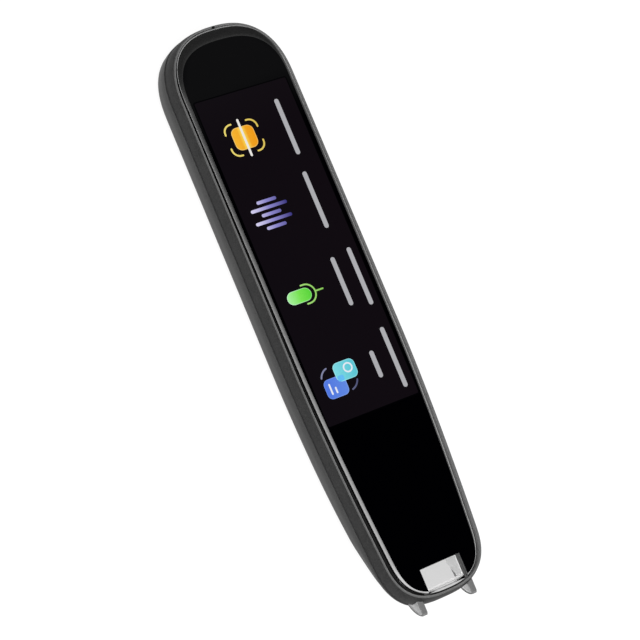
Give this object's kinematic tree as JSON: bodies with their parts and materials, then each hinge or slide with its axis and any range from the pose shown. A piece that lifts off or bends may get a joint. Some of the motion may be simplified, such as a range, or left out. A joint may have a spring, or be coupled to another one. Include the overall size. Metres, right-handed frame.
{
  "type": "scanning pen",
  "caption": "Flat hand-held scanning pen with a long touch screen, a clear sprung scan foot at its tip, a viewing window and a side power button.",
  "frame": {"origin": "centre of the bounding box, down on the flat of the back", "axes": "+Z out of the screen, +Y towards the wide round end, -Y towards the scanning tip, +X to the right as the screen is seen with the tip down"},
  "size_m": [0.0332, 0.154, 0.0155],
  "materials": {
    "case_plastic": "dark grey with a fine moulded grain",
    "shell_plastic": "dark grey with a fine moulded grain and a bright lip",
    "cover_glass": "polished, printed black on its underside",
    "clear_plastic": "clear, polished",
    "black_foam": "closed-cell foam",
    "display_film": "laminated panel",
    "amber_flex": "amber film",
    "white_plastic": "moulded",
    "black_plastic": "moulded",
    "chassis_alloy": "cast, plain",
    "circuit_board": "solder mask",
    "chip_epoxy": "moulded",
    "plated_steel": "tin plated",
    "spring_steel": "drawn wire",
    "battery_pouch": "laminated foil pouch",
    "lamp_resin": "phosphor resin",
    "optical_glass": "coated"
  },
  "bodies": {
    "case": {"back_cover": "case_plastic", "front_shell": "shell_plastic", "cover_lens": "cover_glass", "lens_gasket": "black_foam", "display_panel": "display_film", "display_flex": "amber_flex", "flex_connector": "white_plastic", "chassis": "chassis_alloy", "main_board": "circuit_board", "processor": "chip_epoxy", "memory_chip": "chip_epoxy", "wireless_shield": "plated_steel", "antenna": "amber_flex", "board_screw_1": "plated_steel", "board_screw_2": "plated_steel", "board_screw_3": "plated_steel", "board_screw_4": "plated_steel", "battery": "battery_pouch", "battery_connector": "white_plastic", "speaker": "black_plastic", "speaker_gasket": "black_foam", "speaker_mesh": "plated_steel", "microphone_top": "plated_steel", "microphone_tip": "plated_steel", "usb_shell": "plated_steel", "usb_tongue": "black_plastic", "button_switch": "black_plastic", "foot_spring_left": "spring_steel", "foot_spring_right": "spring_steel", "trigger_switch": "black_plastic", "scan_frame": "clear_plastic", "light_tunnel": "black_plastic", "light_board": "circuit_board", "scan_lamp_left": "lamp_resin", "scan_lamp_right": "lamp_resin", "camera_barrel": "black_plastic", "camera_lens": "optical_glass", "camera_housing": "black_plastic", "sensor_board": "circuit_board"},
    "foot": {"scan_foot": "clear_plastic", "trigger_plunger": "white_plastic"},
    "button": {"power_button": "case_plastic", "button_plunger": "white_plastic"}
  },
  "joints": [
    {"name": "foot_press", "type": "slide", "parent": "case", "child": "foot", "axis": [0, 1, 0], "range_m": [0, 0.001], "stiffness_N_per_m": 500, "springref_m": -0.0005, "deforming": ["foot_spring_left", "foot_spring_right"]},
    {"name": "button_press", "type": "slide", "parent": "case", "child": "button", "axis": [-1, 0, 0], "range_m": [0, 0.00035], "stiffness_N_per_m": 2500, "springref_m": -0.0001}
  ]
}
